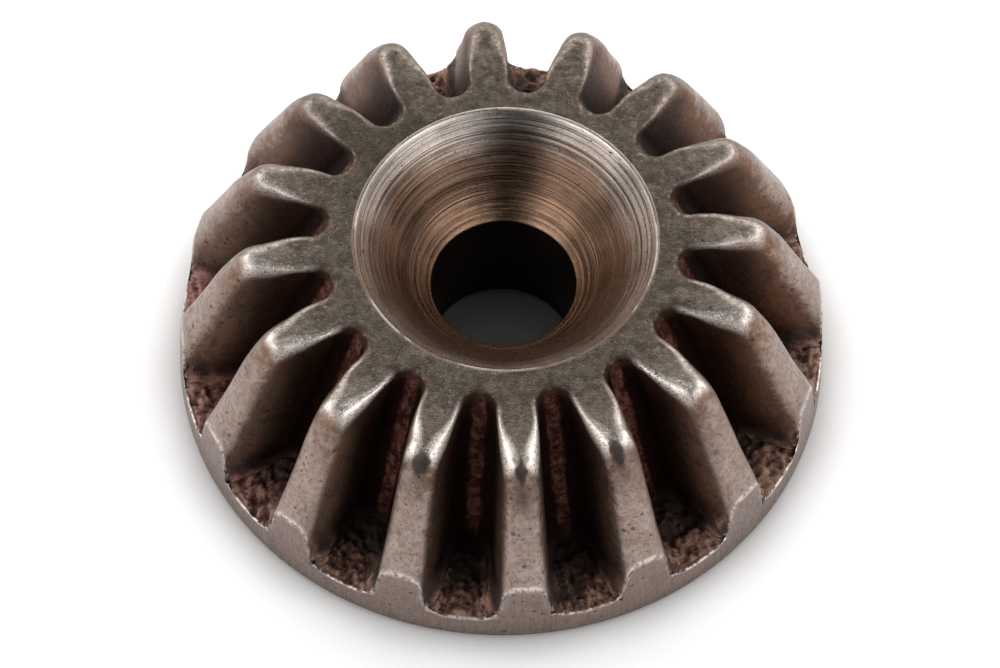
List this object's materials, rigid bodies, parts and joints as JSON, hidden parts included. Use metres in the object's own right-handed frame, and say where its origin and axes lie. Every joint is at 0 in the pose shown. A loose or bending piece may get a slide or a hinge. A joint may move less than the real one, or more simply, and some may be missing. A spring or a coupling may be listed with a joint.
{
  "type": "straight bevel gear",
  "caption": "Straight bevel gear in matte sintered steel: conical toothed body, flat small end with a countersink, plain through bore, closed rim at the large end.",
  "frame": {"origin": "centre of the bore on the flat back face", "axes": "+Z along the gear's axis, from the back face (large end) to the small end; a tooth is centred on +X"},
  "size_m": [0.018, 0.018, 0.0063],
  "materials": {
    "sintered_steel": "matte warm grey sintered steel with coppery brown tooth spaces, worn bright crests and a turned, satin countersink"
  },
  "bodies": {
    "root": {"bevel_gear": "sintered_steel"}
  },
  "joints": []
}
